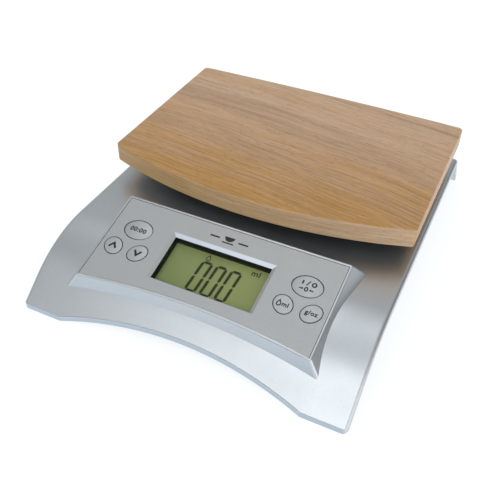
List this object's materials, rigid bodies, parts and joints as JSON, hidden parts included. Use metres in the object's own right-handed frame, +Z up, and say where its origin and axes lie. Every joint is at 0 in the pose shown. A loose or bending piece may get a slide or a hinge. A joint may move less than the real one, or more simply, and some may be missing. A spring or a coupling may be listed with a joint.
{
  "type": "digital kitchen scale",
  "caption": "Flat digital kitchen scale with an arched silver base, a sloping panel of round keys and a display, and a rectangular wooden weighing platter.",
  "frame": {"origin": "on the floor, under the middle of the scale's outline", "axes": "+X to the right as the user sees the panel, +Y from the front lip to the back, +Z up"},
  "size_m": [0.1816, 0.2276, 0.0502],
  "materials": {
    "shell_silver": "satin silver paint on moulded plastic",
    "panel_silver": "fine matte silver-grey face plate",
    "key_silver": "satin silver-grey key cap",
    "tray_grey": "moulded grey plastic",
    "bezel_black": "matte black plastic",
    "lens_clear": "clear window",
    "lcd_green": "green-grey reflective display",
    "wood": "oiled light hardwood, grain across the scale",
    "carrier_dark": "dark moulded plastic",
    "rubber_dark": "soft dark rubber",
    "rubber_contact": "layered contact rubber",
    "board_green": "printed circuit board",
    "part_black": "black electronic part",
    "socket_white": "white nylon socket",
    "seal_white": "white sealing compound",
    "steel": "zinc plated steel",
    "aluminium": "machined aluminium",
    "foil": "copper foil on film",
    "lead_grey": "grey cable sheath",
    "lead_red": "coloured lead",
    "cell_wrap": "printed metal can"
  },
  "bodies": {
    "base": {"top_shell": "shell_silver", "bottom_tray": "tray_grey", "control_overlay": "panel_silver", "display_bezel": "bezel_black", "display_lens": "lens_clear", "lcd_glass": "lcd_green", "lcd_contact_strips": "rubber_contact", "control_board": "board_green", "tact_switches": "part_black", "board_screws": "steel", "controller_chip": "part_black", "timing_crystal": "steel", "filter_capacitors": "part_black", "board_sockets": "socket_white", "timer_buzzer": "part_black", "rubber_feet": "rubber_dark", "shell_screws": "steel", "load_cell": "aluminium", "load_cell_screws": "steel", "strain_gauges": "foil", "gauge_coating": "seal_white", "load_cell_cable": "lead_grey", "overload_stop": "steel", "battery_front": "cell_wrap", "battery_rear": "cell_wrap", "battery_springs": "steel", "battery_contacts": "steel", "battery_leads": "lead_red"},
    "platform": {"wood_platter": "wood", "platform_carrier": "carrier_dark", "carrier_screws": "steel", "wood_screws": "steel"},
    "button_timer": {"button_timer": "key_silver"},
    "button_up": {"button_up": "key_silver"},
    "button_down": {"button_down": "key_silver"},
    "button_power_tare": {"button_power_tare": "key_silver"},
    "button_liquid": {"button_liquid": "key_silver"},
    "button_units": {"button_units": "key_silver"},
    "battery_door": {"battery_door": "tray_grey"}
  },
  "joints": [
    {"name": "platform_press", "type": "slide", "parent": "base", "child": "platform", "axis": [0, 0, 1], "range_m": [-0.0004, 0], "stiffness_N_per_m": 100000, "springref_m": 0.00005},
    {"name": "button_timer_press", "type": "slide", "parent": "base", "child": "button_timer", "axis": [0, 0.2399, -0.9708], "range_m": [0, 0.0006], "stiffness_N_per_m": 1500, "springref_m": -0.0003},
    {"name": "button_up_press", "type": "slide", "parent": "base", "child": "button_up", "axis": [0, 0.2399, -0.9708], "range_m": [0, 0.0006], "stiffness_N_per_m": 1500, "springref_m": -0.0003},
    {"name": "button_down_press", "type": "slide", "parent": "base", "child": "button_down", "axis": [0, 0.2399, -0.9708], "range_m": [0, 0.0006], "stiffness_N_per_m": 1500, "springref_m": -0.0003},
    {"name": "button_power_tare_press", "type": "slide", "parent": "base", "child": "button_power_tare", "axis": [0, 0.2399, -0.9708], "range_m": [0, 0.0006], "stiffness_N_per_m": 1500, "springref_m": -0.0003},
    {"name": "button_liquid_press", "type": "slide", "parent": "base", "child": "button_liquid", "axis": [0, 0.2399, -0.9708], "range_m": [0, 0.0006], "stiffness_N_per_m": 1500, "springref_m": -0.0003},
    {"name": "button_units_press", "type": "slide", "parent": "base", "child": "button_units", "axis": [0, 0.2399, -0.9708], "range_m": [0, 0.0006], "stiffness_N_per_m": 1500, "springref_m": -0.0003},
    {"name": "battery_door_swing", "type": "hinge", "parent": "base", "child": "battery_door", "pos_m": [0, 0.0796, 0.0037], "axis": [1, 0, 0], "range_deg": [0, 75]}
  ]
}
